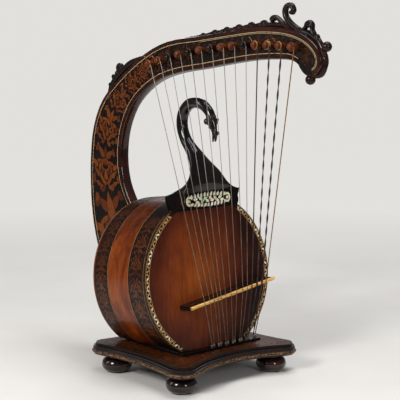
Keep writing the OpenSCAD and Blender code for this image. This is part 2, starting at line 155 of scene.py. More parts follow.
def wood(name, dark, mid, light, grain=(1, 1, 0.07), scale=120, rough=(0.28, 0.5), coat=0.35, blotch=14,
         shade=None):
    """Varnished wood, its grain along the axis with the smallest number; shade darkens it by height, partly
    as the wood's stain and partly as painted shade.
    """
    n = Net(name)
    v = n.stretch(grain)
    fig = n.noise(scale, 6, v, 0.62, 0.6)
    fine = n.noise(scale * 7, 3, v, 0.7)
    big = n.noise(blotch, 3)
    f = n.math("ADD", n.math("MULTIPLY", fig, 0.62), n.math("MULTIPLY", big, 0.38))
    c = n.ramp(f, (0.36, dark), (0.5, mid), (0.64, light))
    c = n.mix(n.math("MULTIPLY", n.math("GREATER_THAN", fine, 0.62), 0.35), c, dark)
    # Darker by height: partly the stain, partly painted shade.
    if shade:
        c = n.mix(1.0, c, n.ramp(n.math("MULTIPLY", n.xyz()["Z"], 2.0), *shade), "MULTIPLY")
    r = n.math("ADD", n.math("MULTIPLY", big, rough[1] - rough[0]), rough[0])
    n.bump(n.math("ADD", fine, n.math("MULTIPLY", n.noise(300, 2), 0.5)), 0.12)
    return n.out(c, r, coat)


def ebony(name, tone=(0.004, 0.003, 0.0032), warm=(0.02, 0.007, 0.005), rough=(0.16, 0.34), coat=0.6):
    """Black-stained polished wood, worn brown here and there."""
    n = Net(name)
    big = n.noise(26, 4, None, 0.6)
    fine = n.noise(420, 3, n.stretch((1, 1, 0.2)))
    between = tuple(0.55 * a + 0.45 * b for a, b in zip(tone, warm))
    c = n.ramp(big, (0.42, tone), (0.66, between), (0.82, warm))
    n.bump(n.math("ADD", n.math("MULTIPLY", fine, 0.6), n.noise(90, 3)), 0.12, 0.0004)
    return n.out(c, n.math("ADD", n.math("MULTIPLY", n.noise(60, 4), rough[1] - rough[0]), rough[0]), coat)


def tinted(name, grain=700, rough=0.3, coat=0.4, dirt_at=0.62, vary=0.5):
    """Takes each inlay piece's colour from its own vertices, with grain and old polish on top."""
    n = Net(name)
    dirt = (0.03, 0.015, 0.008)
    a = n.add("ShaderNodeAttribute", attribute_name="tint").outputs["Color"]
    g = n.noise(grain, 4, n.stretch((1, 0.3, 1)))
    c = n.mix(n.math("MULTIPLY", g, vary), a, dirt)
    c = n.mix(n.math("MULTIPLY", n.math("GREATER_THAN", n.noise(150, 5), dirt_at), 0.6), c, dirt)
    n.bump(g, 0.1)
    return n.out(c, n.math("ADD", n.math("MULTIPLY", n.noise(80, 3), 0.2), rough - 0.1), coat)


EBONY = ebony("ebonised_wood")
POLISHED = ebony("polished_black", (0.0035, 0.003, 0.0035), (0.02, 0.008, 0.006), (0.12, 0.26), 2.2)
EBONY_BROWN = ebony("ebonised_brown", (0.008, 0.005, 0.0045), (0.045, 0.014, 0.008))
FOOT = ebony("turned_foot", (0.008, 0.0045, 0.004), (0.06, 0.018, 0.009), (0.12, 0.28), 2.6)
GROUND = wood("marquetry_ground", (0.0035, 0.0025, 0.0025), (0.007, 0.004, 0.0035), (0.018, 0.007, 0.005),
              scale=90, coat=0.1)
INLAY = tinted("marquetry_inlay", coat=0.12)
LINE = tinted("light_line", 500, 0.35, 0.1, vary=0.35)
CHIP = tinted("shell_chip", 500, 0.3, 0.6, dirt_at=0.7, vary=0.12)
BORDER = wood("border_wood", (0.008, 0.003, 0.002), (0.024, 0.006, 0.003), (0.06, 0.014, 0.006),
              (1, 0.2, 1), scale=260, coat=0.15)
# The drum's centre band: darker high up and a little low down, partly its stain and partly painted shade.
RIB = wood("rib_wood", (0.07, 0.011, 0.002), (0.18, 0.034, 0.004), (0.31, 0.078, 0.009), (1, 1, 0.16),
           scale=60, rough=(0.24, 0.38), coat=0.6, blotch=9,
           shade=((0.14, (0.7, 0.62, 0.6)), (0.3, (1, 1, 1)), (0.42, (0.85, 0.8, 0.75)),
                  (0.56, (0.3, 0.25, 0.25))))
NECK_EDGE = wood("neck_edge", (0.012, 0.004, 0.003), (0.035, 0.009, 0.005), (0.075, 0.018, 0.008),
                 (1, 0.2, 0.2), scale=110, rough=(0.14, 0.26), coat=2)
INNER = wood("bare_wood", (0.3, 0.16, 0.07), (0.45, 0.27, 0.13), (0.6, 0.4, 0.22), rough=(0.6, 0.8), coat=0)
BACK = wood("back_wood", (0.035, 0.009, 0.004), (0.09, 0.02, 0.007), (0.17, 0.045, 0.013))
PEG = wood("peg_wood", (0.03, 0.008, 0.004), (0.11, 0.026, 0.008), (0.24, 0.062, 0.016), (0.1, 1, 1),
           scale=240, rough=(0.2, 0.34), coat=0.3)


def board_material():
    """Red-brown soundboard: upright grain, honey in the middle, dark towards the rim: burnt varnish, and
    painted shade at the top under the block.
    """
    n = Net("soundboard_varnish")
    v = n.stretch((1, 1, 0.035))
    fig = n.noise(230, 5, v, 0.65, 0.3)
    broad = n.noise(38, 3, n.stretch((1, 1, 0.12)))
    pos = n.xyz()
    dx = n.math("MULTIPLY", n.math("ADD", pos["X"], 0.028), 7.6)
    dz = n.math("MULTIPLY", n.math("SUBTRACT", pos["Z"], 0.168), 6.4)
    r = n.math("POWER", n.math("ADD", n.math("MULTIPLY", dx, dx), n.math("MULTIPLY", dz, dz)), 0.5)
    r = n.math("ADD", r, n.math("MULTIPLY", n.math("SUBTRACT", n.noise(16, 3), 0.5), 0.7))
    # Dark towards the rim: the burnt varnish, and at the top under the block also painted shade.
    glow = n.ramp(r, (0.0, (0.3, 0.07, 0.009)), (0.34, (0.2, 0.042, 0.008)), (0.66, (0.09, 0.017, 0.006)),
                  (0.95, (0.022, 0.005, 0.003)))
    f = n.math("ADD", n.math("MULTIPLY", fig, 0.6), n.math("MULTIPLY", broad, 0.4))
    streak = n.ramp(f, (0.34, (0.6, 0.56, 0.56)), (0.5, (0.95, 0.93, 0.92)), (0.66, (1.3, 1.3, 1.25)))
    c = n.mix(1.0, glow, streak, "MULTIPLY")
    n.bump(n.math("ADD", fig, n.noise(500, 2, v)), 0.1)
    return n.out(c, n.math("ADD", n.math("MULTIPLY", n.noise(22, 4), 0.22), 0.26), 0.18, coat_rough=0.16)


def pearl_material():
    n = Net("shell_inlay")
    a = n.add("ShaderNodeAttribute", attribute_name="tint").outputs["Color"]
    w = n.noise(330, 3, None, 0.5, 2.2)
    sheen = n.ramp(w, (0.3, (0.36, 0.56, 0.43)), (0.42, (0.93, 0.9, 0.72)), (0.52, (0.8, 0.56, 0.57)),
                   (0.6, (0.88, 0.88, 0.66)), (0.72, (0.38, 0.55, 0.6)))
    c = n.mix(0.3, a, sheen)
    n.bump(n.noise(700, 3), 0.15)
    return n.out(c, 0.2, 0.8, coat_rough=0.12, spec=0.5)


def bone_material():
    n = Net("boxwood_saddle")
    g = n.noise(500, 4, n.stretch((0.06, 1, 1)))
    c = n.ramp(g, (0.35, (0.46, 0.2, 0.045)), (0.5, (0.78, 0.45, 0.13)), (0.66, (0.93, 0.66, 0.27)))
    n.bump(g, 0.15)
    return n.out(c, 0.36, 0.25)


def fibre(name, dark, light, rough=0.45, painted_light_top=None):
    """Gut or thread, made paler high above the drum by its optional colour: painted light, as the strings
    look against the bright backdrop.
    """
    n = Net(name)
    g = n.noise(900, 3, n.stretch((1, 1, 0.12)))
    c = n.ramp(n.math("ADD", n.math("MULTIPLY", g, 0.6), n.math("MULTIPLY", n.noise(40, 2), 0.4)),
               (0.36, dark), (0.64, light))
    # Painted light: the gut turns paler from 0.28 m up, as it looks against the bright backdrop.
    if painted_light_top:
        c = n.mix(n.math("MULTIPLY", n.math("SUBTRACT", n.xyz()["Z"], 0.28), 12, True), c, painted_light_top)
    n.bump(g, 0.3)
    return n.out(c, rough, 0.15)


def steel_material():
    n = Net("old_steel")
    g = n.noise(600, 4)
    c = n.ramp(g, (0.35, (0.12, 0.10, 0.085)), (0.6, (0.5, 0.47, 0.43)))
    n.bump(g, 0.2)
    return n.out(c, n.math("ADD", n.math("MULTIPLY", g, 0.4), 0.2), 0, 0.9, spec=0.5)


BOARD = board_material()
PEARL = pearl_material()
BONE = bone_material()
GUT = fibre("gut_string", (0.06, 0.042, 0.028), (0.22, 0.17, 0.125), painted_light_top=(0.3, 0.27, 0.23))
GOLD_GUT = fibre("golden_gut", (0.14, 0.065, 0.02), (0.46, 0.28, 0.1))
# Darker gut for the turns on most of the pegs.
PEG_GUT = fibre("dark_peg_gut", (0.03, 0.018, 0.012), (0.13, 0.085, 0.05))
DARK_GUT = fibre("dark_string", (0.016, 0.012, 0.011), (0.075, 0.05, 0.042), 0.38)
TAN_GUT = fibre("tan_string", (0.1, 0.034, 0.013), (0.36, 0.15, 0.055), 0.4)
STEEL = steel_material()

PAINT = {
    "plinth_board": EBONY, "plinth_moulding": EBONY_BROWN, "plinth_top_panel": GROUND,
    "foot_front_left": FOOT, "foot_front_right": FOOT, "foot_back_left": FOOT, "foot_back_right": FOOT,
    "foot_dowels": INNER,
    "drum_seat": EBONY, "hitch_rail": EBONY, "hitch_pins": STEEL, "rib_core": INNER, "rib_band_front": GROUND,
    "rib_band_centre": RIB, "rib_band_rear": GROUND, "soundboard": BOARD, "back_board": BACK,
    "soundboard_purfling": EBONY_BROWN, "linings": INNER, "soundboard_braces": INNER, "heel_block": INNER,
    "bridge_bar": EBONY_BROWN, "bridge_saddle": BONE, "figure_block": EBONY, "pearl_panel": PEARL,
    "swan_neck": EBONY, "swan_head": EBONY, "bow_neck": NECK_EDGE, "neck_veneer_left": GROUND,
    "neck_veneer_right": GROUND, "crest_front": EBONY_BROWN, "crest_rear": EBONY_BROWN,
    "scroll_finial": EBONY_BROWN, "ball_finials": EBONY_BROWN, "neck_bolts": STEEL, "strings_gut": GUT,
    "string_bass_1": DARK_GUT, "string_bass_2": DARK_GUT, "string_bass_3": DARK_GUT, "string_bass_4": TAN_GUT,
}
DARK_PEGS = ("peg_03", "peg_05", "peg_07", "peg_10")
for name, o in N.items():
    o.data.materials.clear()
    o.data.materials.append(PAINT.get(name, EBONY_BROWN if name in DARK_PEGS else PEG))


# ---------------------------------------------------------------- mesh helpers
def add_mesh(name, verts, faces, mat, body="frame", smooth=False, tints=None):
    """verts in millimetres. tints: one colour a face."""
    me = bpy.data.meshes.new(name)
    me.from_pydata([(x / 1000, y / 1000, z / 1000) for x, y, z in verts], [], faces)
    if tints:
        at = me.color_attributes.new("tint", "FLOAT_COLOR", "CORNER")
        i = 0
        for f, c in zip(faces, tints):
            for _ in f:
                at.data[i].color = (*c, 1)
                i += 1
    me.materials.append(mat)
    me.polygons.foreach_set("use_smooth", [smooth] * len(faces))
    o = bpy.data.objects.new(name, me)
    bpy.context.scene.collection.objects.link(o)
    if body:
        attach(o, body)
    return o


def bevel(o, width, segs=3, angle=35):
    m = o.modifiers.new("soften", "BEVEL")
    m.width = width / 1000
    m.segments = segs
    m.limit_method = "ANGLE"
    m.angle_limit = math.radians(angle)
    o.data.polygons.foreach_set("use_smooth", [True] * len(o.data.polygons))
    return o


def cr(a, b, c, d, t):
    """Catmull-Rom point between b and c."""
    return tuple(0.5 * (2 * q + (r - p) * t + (2 * p - 5 * q + 4 * r - s) * t * t
                        + (3 * q - p - 3 * r + s) * t ** 3)
                 for p, q, r, s in zip(a, b, c, d))


def spline(p, n):
    """A smooth line through p, n steps for each span."""
    out = []
    for i in range(len(p) - 1):
        for k in range(n):
            out.append(cr(p[max(i - 1, 0)], p[i], p[i + 1], p[min(i + 2, len(p) - 1)], k / n))
    return out + [tuple(p[-1])]


class Line:
    """A polyline read by the fraction of its length."""

    def __init__(self, pts):
        self.p = [Vector(q) for q in pts]
        self.s = [0.0]
        for a, b in zip(self.p, self.p[1:]):
            self.s.append(self.s[-1] + (b - a).length)
        self.len = self.s[-1]

    def at(self, u):
        d = min(max(u, 0), 1) * self.len
        for i in range(len(self.s) - 1):
            if d <= self.s[i + 1] or i == len(self.s) - 2:
                k = (d - self.s[i]) / max(self.s[i + 1] - self.s[i], 1e-9)
                return self.p[i].lerp(self.p[i + 1], k)


def tube(name, pts, radius, mat, body="frame", sides=10, flat=None):
    """A round tube through pts (mm). flat: (a, b, turns) makes it an oval strip that twists."""
    ln = Line(pts)
    verts, faces = [], []
    ref = Vector((1, 0, 0))
    m = len(pts)
    for i, p in enumerate(ln.p):
        t = (ln.p[min(i + 1, m - 1)] - ln.p[max(i - 1, 0)]).normalized()
        ref = ref - t * ref.dot(t)
        if ref.length < 1e-4:
            ref = Vector((0, 1, 0)) - t * t.y
        ref.normalize()
        side = t.cross(ref)
        rx, ry, tw = (flat[0], flat[1], 2 * PI * flat[2] * ln.s[i] / ln.len) if flat else (radius, radius, 0)
        for k in range(sides):
            a = 2 * PI * k / sides
            x, y = rx * math.cos(a), ry * math.sin(a)
            x, y = x * math.cos(tw) - y * math.sin(tw), x * math.sin(tw) + y * math.cos(tw)
            verts.append(tuple(p + ref * x + side * y))
    for i in range(m - 1):
        for k in range(sides):
            j = (k + 1) % sides
            faces.append((i * sides + k, i * sides + j, (i + 1) * sides + j, (i + 1) * sides + k))
    faces.append(tuple(reversed(range(sides))))
    faces.append(tuple((m - 1) * sides + k for k in range(sides)))
    return add_mesh(name, verts, faces, mat, body, True)


# ---------------------------------------------------------------- neck face coordinates
OUTER = [(120, 84), (190, 90), (245, 122), (279, 164), (297, 215), (304, 270), (304, 330), (294, 388),
         (266, 437), (212, 481), (150, 517.5), (90, 538.5), (20, 547), (-60, 557), (-120, 563), (-170, 562),
         (-205, 555.5), (-229.5, 544), (-244.5, 529), (-248.5, 513), (-241.5, 500.5), (-230, 496),
         (-218, 498.5)]
INNER_PTS = [(-210, 507), (-197, 515.5), (-176, 519), (-120, 517), (-60, 509.5), (0, 500), (60, 491.5),
             (112, 478.5), (155, 457), (190, 427), (213, 385), (220, 340), (213, 298), (192, 262), (165, 228),
             (120, 196)]
out_line = Line(spline([(0, a, b) for a, b in OUTER], 3))
in_line = Line(spline([(0, a, b) for a, b in reversed(INNER_PTS)], 3))
# Pairs of places that face each other across the neck, as fractions of the two edges.
PAIRS = [(0.0, 0.0), (0.19, 0.1), (0.3, 0.2), (0.415, 0.33), (0.5, 0.42), (0.6, 0.55), (0.75, 0.72),
         (0.88, 0.9), (0.93, 0.965), (1.0, 1.0)]


def facing(u):
    for (a, p), (b, q) in zip(PAIRS, PAIRS[1:]):
        if u <= b:
            return p + (q - p) * (u - a) / (b - a)
    return 1.0


mid_pts = [(out_line.at(k / 90) + in_line.at(facing(k / 90))) / 2 for k in range(91)]
mid_line = Line(mid_pts)


def neck_at(s, t, x):
    """A point on the neck face: s mm along it from the heel, t from -1 (inner edge) to 1 (outer edge)."""
    d = min(max(s / mid_line.len, 0), 1) * 90
    lo = 0
    for i in range(90):
        if mid_line.s[i] <= s:
            lo = i
    k = (s - mid_line.s[lo]) / max(mid_line.s[lo + 1] - mid_line.s[lo], 1e-6) if lo < 90 else 0
    u = min((lo + min(k, 1)) / 90, 1)
    a, b = in_line.at(facing(u)), out_line.at(u)
    p = a.lerp(b, (t + 1) / 2)
    return place(x, p.y, p.z), (b - a).length / 2


# ---------------------------------------------------------------- inlay drawing
def blade(x, y, ang, length, width, curl=0.0, n=8, blunt=0.55):
    """A curved leaf as matched left and right edges."""
    left, right = [], []
    a = ang
    for i in range(n + 1):
        u = i / n
        w = width * math.sin(PI * min(u ** blunt, 1)) / 2 + 0.08 * width * (1 - u)
        left.append((x - w * math.sin(a), y + w * math.cos(a)))
        right.append((x + w * math.sin(a), y - w * math.cos(a)))
        a += curl / n
        x += length / n * math.cos(a)
        y += length / n * math.sin(a)
    return left, right


def scroll(x, y, ang, length, w0, w1, curl, n=18, tight=1.6):
    """A ribbon that winds tighter towards its end."""
    left, right = [], []
    a = ang
    for i in range(n + 1):
        u = i / n
        w = (w0 + (w1 - w0) * u) / 2
        left.append((x - w * math.sin(a), y + w * math.cos(a)))
        right.append((x + w * math.sin(a), y - w * math.cos(a)))
        a += curl / n * (0.4 + tight * u)
        x += length / n * math.cos(a) * (1.25 - 0.5 * u)
        y += length / n * math.sin(a) * (1.25 - 0.5 * u)
    return left, right


def moved(strip, x, y=0.0, ang=0.0):
    """A strip turned by ang and shifted to x, y."""
    c, s = math.cos(ang), math.sin(ang)
    return tuple([(x + a * c - b * s, y + a * s + b * c) for a, b in edge] for edge in strip)


def arabesque(z):
    """One symmetrical motif about the origin, growing along +x; z is its half height."""
    out = []
    for s in (1, -1):
        out.append(scroll(-0.95 * z, 0.06 * z * s, s * 0.95, 2.2 * z, 0.2 * z, 0.1 * z, -s * 4.6))
        out.append(scroll(0.05 * z, 0.04 * z * s, s * 1.15, 1.5 * z, 0.17 * z, 0.09 * z, s * 4.2))
        out.append(blade(-0.55 * z, s * 0.42 * z, s * 1.3, 0.5 * z, 0.24 * z, -s * 0.9))
        out.append(blade(-0.2 * z, s * 0.6 * z, s * 0.5, 0.55 * z, 0.22 * z, s * 0.9))
        out.append(blade(0.3 * z, s * 0.12 * z, s * 0.55, 0.72 * z, 0.27 * z, s * 0.5))
        out.append(blade(0.5 * z, s * 0.62 * z, s * 0.3, 0.42 * z, 0.2 * z, -s * 1.0))
        out.append(blade(-1.0 * z, s * 0.5 * z, s * 0.7, 0.42 * z, 0.2 * z, s * 0.8))
        out.append(blade(0.86 * z, s * 0.5 * z, s * 2.2, 0.34 * z, 0.18 * z, s * 0.8))
    out.append(blade(-0.1 * z, 0, 0, 1.0 * z, 0.34 * z, 0, 8, 0.7))
    out.append(blade(-0.75 * z, 0, 0, 0.55 * z, 0.26 * z, 0))
    for s in (1, -1):
        out.append(blade(-1.0 * z, s * 0.16 * z, s * 2.5, 0.4 * z, 0.2 * z, -s * 0.6))
        out.append(blade(-0.9 * z, s * 0.92 * z, s * 0.05, 0.5 * z, 0.17 * z, -s * 0.5))
        out.append(blade(-0.1 * z, s * 0.93 * z, s * -0.1, 0.45 * z, 0.16 * z, s * 0.4))
        out.append(blade(0.55 * z, s * 0.93 * z, s * 0.1, 0.42 * z, 0.16 * z, -s * 0.5))
        out.append(blade(0.9 * z, s * 0.2 * z, s * 0.4, 0.35 * z, 0.17 * z, s * 0.5))
        out.append(blade(-0.42 * z, s * 0.14 * z, s * 1.1, 0.34 * z, 0.15 * z, s * 0.5))
    return out


ORANGES = [(0.165, 0.036, 0.006), (0.12, 0.025, 0.005), (0.2, 0.05, 0.008), (0.085, 0.016, 0.005),
           (0.135, 0.04, 0.01)]
OUTLINE = (0.003, 0.002, 0.002)


def strips_to_mesh(name, strips, to3d, keep=None, shade=None, outline=0.42):
    """Inlay pieces with a dark outline each, at a lift of their own so that none lies in another."""
    verts, faces, tints = [], [], []
    for number, (left, right) in enumerate(strips):
        if keep and not all(keep(*q) for q in left + right):
            continue
        c = rng.choice(ORANGES)
        if shade:
            c = shade(c, *left[0])
        lift = 0.014 * (number % 22)
        for grow, colour, up in ((outline, OUTLINE, lift), (0, c, lift + 0.007)):
            b = len(verts)
            for p, q in zip(left, right):
                dx, dy = p[0] - q[0], p[1] - q[1]
                ln = max(math.hypot(dx, dy), 0.05)
                dx, dy = dx / ln * grow, dy / ln * grow
                verts.append(to3d(p[0] + dx, p[1] + dy, up))
                verts.append(to3d(q[0] - dx, q[1] - dy, up))
            for i in range(len(left) - 1):
                faces.append((b + 2 * i, b + 2 * i + 1, b + 2 * i + 3, b + 2 * i + 2))
                tints.append(colour)
    return add_mesh(name, verts, faces, INLAY, "frame", False, tints)


def ribbon(name, a_pts, b_pts, mat, tint=(0.6, 0.45, 0.24)):
    """A flat strip between two matched point lists."""
    verts, faces = [], []
    for p, q in zip(a_pts, b_pts):
        verts += [p, q]
    for i in range(len(a_pts) - 1):
        faces.append((2 * i, 2 * i + 1, 2 * i + 3, 2 * i + 2))
    return add_mesh(name, verts, faces, mat, "frame", False, [tint] * len(faces))


def inset_edge(line, d, u0, u1, n, x):
    """Points d mm inside one edge of the neck; d is positive towards the middle of the neck."""
    pts = []
    for i in range(n + 1):
        u = u0 + (u1 - u0) * i / n
        p = line.at(u)
        t = (line.at(min(u + 0.004, 1)) - line.at(max(u - 0.004, 0))).normalized()
        nrm = Vector((0, -t.z, t.y))
        pts.append(place(x, p.y + nrm.y * d, p.z + nrm.z * d))
    return pts


def fade(c, s, t):
    """The inlay is darker along the level part of the bow."""
    k = 1 - 0.72 * min(max((s - 0.5 * mid_line.len) / (0.14 * mid_line.len), 0), 1)
    return tuple(v * k for v in c)


def neck_face(side, out):
    """Inlay, borders and light lines on one side of the bow; out is 1 or -1 along x."""
    x = out * FACE_X
    strips = []
    s = 96.0
    while s < mid_line.len - 22:
        half = neck_at(s, 0, 0)[1] - EDGE_W
        cell = 1.08 * half
        if s + cell > mid_line.len - 8:
            break
        half = neck_at(s + cell / 2, 0, 0)[1] - EDGE_W
        for strip in arabesque(half):
            if s > 0.52 * mid_line.len and rng.random() < 0.35:
                continue
            strips.append(moved(strip, s + cell))
        s += 2 * cell * 0.93

    def on_face(along, across, lift):
        half_w = neck_at(along, 0, 0)[1]
        return neck_at(along, max(-1, min(1, across / half_w)), x + out * lift)[0]

    strips_to_mesh("neck_inlay_" + side, strips, on_face, shade=fade, outline=0.85)
    for name, line, d0, d1, u0, n, lift, mat in (
            ("border_outer", out_line, 0.5, 6.2, 0.115, 150, 0.34, BORDER),
            ("line_outer", out_line, 6.2, 7.1, 0.115, 150, 0.4, LINE),
            ("line_nose", out_line, 8.3, 8.9, 0.7, 60, 0.4, LINE),
            ("border_inner", in_line, -0.5, -6.2, 0.07, 150, 0.34, BORDER),
            ("line_inner", in_line, -6.2, -7.1, 0.07, 150, 0.4, LINE)):
        a, b = (inset_edge(line, d, u0, 0.985, n, x + out * lift) for d in (d0, d1))
        ribbon("neck_%s_%s" % (name, side), a, b, mat)


neck_face("left", -1)
neck_face("right", 1)


def edge_roll(name, line, d, u0, u1, n=120, m=14):
    """A rounded cap over one edge of the neck, d mm proud in the middle."""
    rows = []
    for k in range(m + 1):
        x = 9.02 * math.cos(PI * k / m)
        rows.append(inset_edge(line, d * math.sin(PI * k / m), u0, u1, n, x))
    verts = [q for row in rows for q in row]
    w = n + 1
    faces = [(k * w + i, k * w + i + 1, (k + 1) * w + i + 1, (k + 1) * w + i) for k in range(m)
             for i in range(n)]
    return add_mesh(name, verts, faces, NECK_EDGE, "frame", True)


edge_roll("neck_roll_inner", in_line, 2.6, 0.07, 0.99)
edge_roll("neck_roll_outer", out_line, -1.3, 0.115, 0.99)

# ---------------------------------------------------------------- drum bands
def on_rib(a, y, lift=0.12):
    """A point on the drum's side: a in radians from the top towards -X, y mm behind the soundboard."""
    r = 132 - 4 * y / 140 + lift
    return lean(-r * math.sin(a), y, r * math.cos(a))


def rib_shade(c, a, b):
    """Darker overall, and darker still towards the top of the drum: partly the stain, partly painted shade.
    """
    k = 0.35 + 0.35 * min(max(a / ARC_R - 0.5, 0), 1)
    return tuple(v * k for v in c)


def rib_band(name, y0, y1, start):
    """The inlay of one band, down both sides of the drum from an arc of start mm."""
    half, mid = (y1 - y0) / 2 - 2.4, (y0 + y1) / 2
    for side, tag in SIDES:
        s = start
        strips = []
        while s + 2.2 * half < A_LOW * 130:
            strips += [moved(strip, s + 1.15 * half) for strip in arabesque(half)]
            s += 2.2 * half
        strips_to_mesh("rib_inlay_%s_%s" % (name, tag), strips,
                       lambda a, b, lift, side=side: on_rib(side * a / ARC_R, mid + b, 0.12 + lift),
                       shade=rib_shade, outline=0.6)


rib_band("front", 6.5, 43.5, A_TOP * ARC_R + 1)
rib_band("rear", 101.5, 135, 0.0)


def rib_line(name, y0, y1, a0, a1, lift, mat, tint=(0.6, 0.45, 0.24), n=96):
    aa = [a0 + (a1 - a0) * i / n for i in range(n + 1)]
    return ribbon(name, [on_rib(a, y0, lift) for a in aa], [on_rib(a, y1, lift) for a in aa], mat, tint)


for i, (y, w, top) in enumerate(((4.6, 0.9, 0.64), (44.4, 0.9, 0), (99.8, 0.9, 0), (138.6, 1.2, 0))):
    for side, tag in SIDES:
        rib_line("rib_line_%d_%s" % (i, tag), y, y + w, side * top, side * A_LOW, 0.45, LINE,
                 (0.3, 0.17, 0.07))
for side, tag in SIDES:
    rib_line("rib_edge_front_" + tag, 0.1, 3.4, side * 0.64, side * A_LOW, 0.1, BORDER)


# ---------------------------------------------------------------- purfling ring
def ring_pieces():
    """A row of slanted shell chips with dark gaps, over a row of small gold ones."""
    verts, faces, tints = [], [], []
    pale = [(0.78, 0.62, 0.33), (0.84, 0.74, 0.48), (0.55, 0.34, 0.13), (0.9, 0.84, 0.62), (0.42, 0.24, 0.08)]
    gold = [(0.34, 0.17, 0.055), (0.2, 0.09, 0.03), (0.42, 0.26, 0.1)]
    for r0, r1, count, part, slant, pal in ((124.9, 128.9, 132, 0.29, 0.5, pale),
                                            (129.4, 130.5, 190, 0.3, 0.1, gold)):
        for k in range(count):
            a = 2 * PI * k / count
            if not -109 < 127.5 * math.cos(a) < 107:
                continue
            b = len(verts)
            w = part * 2 * PI / count * rng.uniform(0.8, 1.15)
            sl = slant * PI / count * (1 if k % 2 else -1)
            for r, da in ((r0, -w - sl), (r0, w - sl), (r1, w + sl), (r1, -w + sl)):
                verts.append(lean(-r * math.sin(a + da), -0.16, r * math.cos(a + da)))
            faces.append((b, b + 1, b + 2, b + 3))
            tints.append(rng.choice(pal))
    return add_mesh("purfling_pieces", verts, faces, CHIP, "frame", False, tints)


ring_pieces()


def ring_line(name, r0, r1, y, mat, tint):
    for side in (1, -1):
        aa = [side * (0.6 + (2.45 - 0.6) * i / 90) for i in range(91)]
        ribbon(name + ("_left" if side > 0 else "_right"),
               [lean(-r0 * math.sin(a), y, r0 * math.cos(a)) for a in aa],
               [lean(-r1 * math.sin(a), y, r1 * math.cos(a)) for a in aa], mat, tint)


ring_line("ring_line_in", 123.4, 124.2, -0.1, LINE, (0.5, 0.33, 0.14))
ring_line("ring_line_out", 130.8, 131.4, -0.1, LINE, (0.5, 0.33, 0.14))


# ---------------------------------------------------------------- shell cartouche
def cartouche():
    verts, faces, tints = [], [], []
    cream = [(0.78, 0.72, 0.48), (0.7, 0.66, 0.38), (0.62, 0.7, 0.48), (0.88, 0.84, 0.64)]
    shell = [(0.36, 0.6, 0.42), (0.82, 0.5, 0.55), (0.45, 0.62, 0.62), (0.9, 0.88, 0.7), (0.6, 0.68, 0.4)]

    def leaf(cx, cz, ang, ln, wd, pal, bend=0.0):
        n = 5
        left, right = blade(cx - ln / 2 * math.cos(ang), cz - ln / 2 * math.sin(ang), ang, ln, wd, bend, n,
                            0.8)
        b = len(verts)
        c = rng.choice(pal)
        lift = 0.01 * (len(faces) % 17)
        for p, q in zip(left, right):
            for x, z in (p, q):
                verts.append(lean(8 + x, -2.42 - lift, 124 + z))
        for i in range(n):
            faces.append((b + 2 * i, b + 2 * i + 1, b + 2 * i + 3, b + 2 * i + 2))
            tints.append(c)

    for k in range(11):
        x = -35 + 7 * k
        for s in (1, -1):
            z = s * 9.2 * math.sqrt(1 - (x / 52) ** 2)
            leaf(x, z - s * 0.6, s * (PI / 2 - 0.011 * x) - 0.55, 8.2, 4.3, cream, 0.25 * s)
    for s in (1, -1):
        for k in range(7):
            t = -2.0 + 4.0 * k / 6
            a = t if s > 0 else PI - t
            leaf(s * 41 + 5.6 * math.cos(a), 7 * math.sin(a), a + s * 1.1, 6.2, 3.6, cream, 0.6 * s)
        leaf(s * 41, 0, 0.4 * s, 6.4, 4.8, shell)
    for k in range(6):
        x = -27 + 10.5 * k
        leaf(x, rng.uniform(0.8, 2.6), rng.uniform(-0.6, 0.6), 9, 5, shell + cream)
        leaf(x + 4, rng.uniform(-3.4, -1.6), rng.uniform(-0.6, 0.6), 8.6, 4.6, shell + cream)
    o = add_mesh("shell_cartouche", verts, faces, PEARL, "frame", False, tints)
    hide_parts("pearl_panel")


cartouche()


# ---------------------------------------------------------------- plinth inlay
HX, Y0P, Y1P, LR = 106.0, -58.0, 132.0, 24.0
HY, DIP_F, DIP_S = 95.0, 26.0, 10.0


def dip_radius(half, dip):
    return (half * half + dip * dip - 2 * LR * dip) / (2 * dip)


def plinth_outline(e, n=24):
    """The plinth's edge drawn e mm inside, as a closed list of points."""
    rf, rb, rs = dip_radius(HX, DIP_F), dip_radius(HX, DIP_S), dip_radius(HY, DIP_S)
    cf, cb, cs, my = Y0P - LR + DIP_F - rf, Y1P + LR - DIP_S + rb, HX + LR - DIP_S + rs, 37.0
    pts = []

    def arc(cx, cy, r, a0, a1, m):
        for i in range(m):
            a = a0 + (a1 - a0) * i / m
            pts.append((cx + r * math.cos(a), cy + r * math.sin(a)))

    bf = math.atan2(Y0P - cf, HX)
    bs = math.atan2(HY, cs - HX)
    bb = math.atan2(cb - Y1P, HX)
    arc(0, cf, rf + e, PI - bf, bf, 2 * n)
    arc(HX, Y0P, LR - e, bf - PI, -bs, n)
    arc(cs, my, rs + e, PI + bs, PI - bs, 2 * n)
    arc(HX, Y1P, LR - e, bs, PI - bb, n)
    arc(0, cb, rb + e, -bb, bb - PI, 2 * n)
    arc(-HX, Y1P, LR - e, bb, PI - bs, n)
    arc(-cs, my, rs + e, bs, -bs, 2 * n)
    arc(-HX, Y0P, LR - e, bs - PI, -bf, n)
    pts.append(pts[0])
    return pts


def inside_plinth(x, y, e):
    rf, rs, rb = dip_radius(HX, DIP_F), dip_radius(HY, DIP_S), dip_radius(HX, DIP_S)
    cf, cs, cb = Y0P - LR + DIP_F - rf, HX + LR - DIP_S + rs, Y1P + LR - DIP_S + rb
    for sx in (1, -1):
        for yy, out in ((Y0P, y < Y0P), (Y1P, y > Y1P)):
            if sx * x > HX and out:
                return math.hypot(x - sx * HX, y - yy) < LR - e
    return (math.hypot(x, y - cf) > rf + e and math.hypot(abs(x) - cs, y - 37) > rs + e
            and math.hypot(x, y - cb) > rb + e and abs(x) < 130 - e and -82 + e < y < 156 - e)


